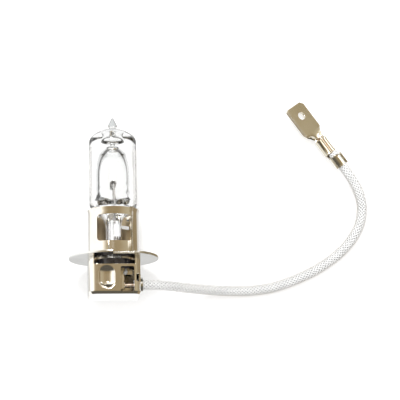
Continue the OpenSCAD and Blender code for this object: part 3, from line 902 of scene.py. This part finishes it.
def crimp_sheet():
    """The stamped strip from the insulation crimp to the root of the blade."""
    insul_r = LEAD_D / 2 + 0.05 + SHEET / 2
    insul_w = insul_r * math.radians(168)
    insul_end, cond_start = INSUL_L, INSUL_L + CRIMP_GAP
    cond_end, root = cond_start + COND_L, TERMINAL_L - TAB_L
    # Each station is a place along the strip, the strip's half width and the radius of its curl.
    stations = [
        (0.0, insul_w - 0.25, insul_r + 0.04), (0.25, insul_w, insul_r),
        (insul_end - 0.15, insul_w, insul_r), (insul_end, insul_w - 0.2, insul_r),
        (insul_end + 0.06, 1.0, insul_r + 0.3), (insul_end + 0.5, 0.85, 3.0),
        (cond_start - 0.4, 0.85, 3.0), (cond_start, 1.2, 20.0), (cond_end - 0.2, 1.2, 20.0),
        (cond_end + 0.1, 1.9, 1.5), (cond_end + 0.8, 1.85, 2.0), (cond_end + 1.7, 2.2, 5.0),
        (root, TAB_W / 2, 60.0),
    ]
    rings = []
    for (xa, wa, ra), (xb, wb, rb) in zip(stations, stations[1:]):
        count = max(1, round((xb - xa) / 0.25))
        for i in range(count):
            t = i / count
            rings.append([(xa + (xb - xa) * t, y, z)
                          for y, z in curl(wa + (wb - wa) * t, ra + (rb - ra) * t)])
    x, w, r = stations[-1]
    rings.append([(x, y, z) for y, z in curl(w, r)])
    strip = mesh_object("strip", *loft(rings, caps=False, closed=False))
    strip.data.transform(Matrix.Translation((0, 0, SHEET / 2)))
    thicken(strip, SHEET)
    bevel(strip, 0.07, 2, 50)
    return strip


def lobed_crimp():
    """The conductor crimp: the strip's wings curled into two lobes that meet in a seam."""
    lobe_r, lobe_y, lobe_z, floor_w = 0.8, 0.76, 1.15, 1.5
    seam_half, seam_z = 0.03, lobe_z - 0.25
    right = [(floor_w - 0.25, 0.0), (floor_w, 0.25)] + arc(lobe_y, lobe_z, lobe_r, -15, 172, 22)
    left = [(-y, z) for y, z in reversed(right)]
    section = right + [(seam_half, seam_z), (-seam_half, seam_z)] + left
    start = INSUL_L + CRIMP_GAP
    # The crimp flares at both ends and is pressed a little in its middle: place along it, and size.
    swells = ((0, 1.0), (0.1, 1.07), (0.3, 1.05), (0.6, 1.0), (COND_L / 2, 0.985), (COND_L - 0.5, 1.0),
              (COND_L - 0.2, 1.05), (COND_L - 0.1, 1.05), (COND_L, 0.98))
    rings = [[(start + x, y * grow, z * grow) for y, z in section] for x, grow in swells]
    return solid("lobes", *loft(rings))


# ---- Stage ------------------------------------------------------------------------------------------

def stage_plane(name, z, half, material):
    corners = [(-half, -half, z), (half, -half, z), (half, half, z), (-half, half, z)]
    plane = mesh_object(name, corners, [(0, 1, 2, 3)])
    plane.data.materials.append(material)
    return plane


def make_floor():
    """The floor, and below it the panel that only the glass shows."""
    stage_plane("studio_floor", 0, 1.5, floor_paint())
    panel = stage_plane("light_panel", -PANEL_DEPTH, 1.0, panel_light())
    panel.visible_camera = False
    panel.visible_diffuse = False
    panel.visible_glossy = False
    panel.visible_shadow = False


def make_world():
    """
    A tent of light. Polished metal sees it white on the left, warm overhead and on the right, and dark
    beyond the base; glass sees it grey with a dark horizon, and everything else is lit evenly.
    """
    world = bpy.data.worlds.new("tent")
    bpy.context.scene.world = world
    world.use_nodes = True
    w = Nodes(world.node_tree)
    direction = w.split(w.coords(kind="Generated"))
    height = direction["Z"]
    overhead = (0.36, 0.28, 0.16)
    left = w.ramp(height, [(0.0, (1.4, 1.4, 1.4)), (0.6, (1.5, 1.46, 1.38)), (0.8, (0.62, 0.53, 0.38)),
                           (0.93, overhead)])
    right = w.ramp(height, [(0.0, (0.38, 0.31, 0.2)), (0.12, (0.42, 0.35, 0.23)), (0.2, (0.55, 0.48, 0.34)),
                            (0.6, (0.5, 0.42, 0.28)), (0.8, (0.42, 0.33, 0.2)), (0.93, overhead)])
    sides = w.mix(w.remap(direction["X"], -0.3, 0.5), left, right)
    tent = w.mix(w.remap(direction["Y"], -0.08, -0.35), sides, (0.12, 0.11, 0.09))
    hazy = w.ramp(height, [(0.0, (0.2, 0.2, 0.2)), (0.2, (0.3, 0.3, 0.3)), (0.5, (0.75, 0.75, 0.75)),
                           (1.0, (0.6, 0.6, 0.6))])
    seen_by = w.node("ShaderNodeLightPath").outputs
    plain = w.mix(seen_by["Is Camera Ray"], (0.45, 0.45, 0.45), (1.0, 1.0, 1.0))
    through_glass = w.mix(seen_by["Is Transmission Ray"], plain, hazy)
    w.link(w.mix(seen_by["Is Glossy Ray"], through_glass, tent), w.nodes["Background"].inputs["Color"])


def area_light(name, place, aim, size, power, in_reflections):
    data = bpy.data.lights.new(name, "AREA")
    data.shape = "DISK"
    data.size = size
    data.energy = power
    light = bpy.data.objects.new(name, data)
    light.location = place
    light.rotation_mode = "QUATERNION"
    light.rotation_quaternion = (Vector(aim) - Vector(place)).to_track_quat("-Z", "Y")
    light.visible_glossy = in_reflections
    light.visible_camera = False
    bpy.context.scene.collection.objects.link(light)


def make_lights():
    """A broad soft fill from above, a small softbox that glints in the metal, and a card by the terminal."""
    area_light("top_fill", (0.02, 0.05, 0.9), (0.02, 0, 0), 1.0, 4.5, False)
    area_light("softbox", (-0.03, 0.3, 0.5), (0.02, 0, 0), 0.12, 0.95, True)
    area_light("terminal_card", (0.07, 0.031, 0.026), (0.052, 0.017, 0.003), 0.03, 0.0038, True)


def make_camera():
    """Almost straight down, as the object lies; a long lens."""
    data = bpy.data.cameras.new("camera")
    data.sensor_width = 36
    data.lens = 150
    data.clip_start = 0.01
    camera = bpy.data.objects.new("camera", data)
    distance, lean = 0.41, math.radians(2)
    middle = BULB @ Vector((0, 0, 0)) + Vector((21.2, 14.1, 0)) * MM
    back = Vector((0, -math.sin(lean), math.cos(lean)))
    camera.location = middle + back * distance
    camera.rotation_mode = "QUATERNION"
    camera.rotation_quaternion = (-back).to_track_quat("-Z", "Y")
    bpy.context.scene.collection.objects.link(camera)
    bpy.context.scene.camera = camera


def dress_cad_nodes():
    """Materials for the CAD nodes that are shown as they are."""
    looks = {
        "foil_live": MOLYBDENUM, "foil_ground": MOLYBDENUM,
        "outer_lead_live": MOLYBDENUM, "outer_lead_ground": MOLYBDENUM,
        "clip_left": SPRING, "clip_right": SPRING, "ground_strap": SPRING,
        "flange_welds": WELD, "base_cover": NICKEL_SATIN,
        "insulator_disc": CERAMIC_IN_SHADE, "live_contact": TINNED, "exit_ferrule": NICKEL_SATIN,
        "lead_tail": BRAID, "base_strands": STRAND, "terminal_strands": STRAND,
    }
    for name, material in looks.items():
        obj = frame["nodes"][name]
        for material_slot in obj.material_slots:
            material_slot.material = material


make_camera()
lead, lead_path = make_lead()
terminal = make_terminal()
make_envelope()
make_filament()
make_posts()
make_sleeve()
make_flange()
make_housing()
make_contact_welds()
dress_cad_nodes()
make_floor()
make_world()
make_lights()
bpy.context.scene.view_settings.view_transform = "Standard"
